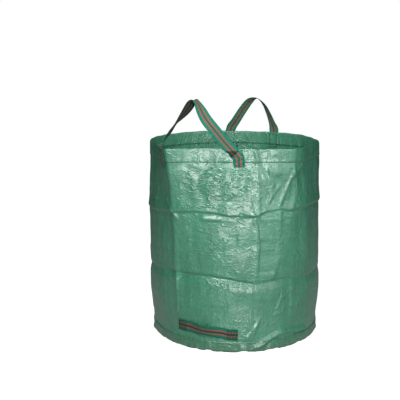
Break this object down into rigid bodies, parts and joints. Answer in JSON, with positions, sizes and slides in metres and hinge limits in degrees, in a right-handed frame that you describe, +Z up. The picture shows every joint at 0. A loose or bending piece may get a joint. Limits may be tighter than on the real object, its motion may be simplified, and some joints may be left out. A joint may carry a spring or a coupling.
{
  "type": "garden refuse bag",
  "caption": "Round standing garden bag of woven sheet, with a hemmed mouth, webbing carrying loops and a tipping strap low on the front.",
  "frame": {"origin": "on the floor under the middle of the base", "axes": "+Z up; the tipping strap and the front carrying loop face -Y; +X to the right seen from the front"},
  "size_m": [0.6818, 0.7173, 0.9443],
  "materials": {
    "wall_cloth": "glossy laminated weave",
    "hem_cloth": "glossy laminated weave",
    "base_cloth": "laminated weave",
    "webbing": "matt woven webbing with orange stripes",
    "green_thread": "matt thread",
    "webbing_thread": "matt thread"
  },
  "bodies": {
    "base": {"base_panel": "base_cloth", "base_stitch": "green_thread", "wall_panel": "wall_cloth", "side_seam": "hem_cloth", "side_seam_stitch": "green_thread", "tipping_strap_left_end": "webbing", "tipping_strap_left_end_stitch": "webbing_thread", "tipping_strap_right_end": "webbing", "tipping_strap_right_end_stitch": "webbing_thread"},
    "rim": {"top_hem": "hem_cloth", "hem_stitch": "green_thread", "front_loop_left_end": "webbing", "front_loop_left_end_stitch": "webbing_thread", "front_loop_right_end": "webbing", "front_loop_right_end_stitch": "webbing_thread", "back_loop_left_end": "webbing", "back_loop_left_end_stitch": "webbing_thread", "back_loop_right_end": "webbing", "back_loop_right_end_stitch": "webbing_thread"},
    "front_handle": {"front_loop": "webbing"},
    "back_handle": {"back_loop": "webbing"},
    "tipping_handle": {"tipping_strap": "webbing"}
  },
  "joints": [
    {"name": "rim_collapse", "type": "slide", "parent": "base", "child": "rim", "axis": [0, 0, -1], "range_m": [0, 0.57], "deforming": ["wall_panel", "side_seam", "side_seam_stitch"]},
    {"name": "front_loop_swing", "type": "hinge", "parent": "rim", "child": "front_handle", "pos_m": [-0.0383, -0.307, 0.764], "axis": [0.9728, 0.2317, 0], "range_deg": [-60, 90]},
    {"name": "back_loop_swing", "type": "hinge", "parent": "rim", "child": "back_handle", "pos_m": [-0.031, 0.3261, 0.764], "axis": [-0.9989, -0.0472, 0], "range_deg": [-90, 90]},
    {"name": "tipping_strap_pull", "type": "slide", "parent": "base", "child": "tipping_handle", "axis": [0, -1, 0], "range_m": [0, 0.02]}
  ]
}
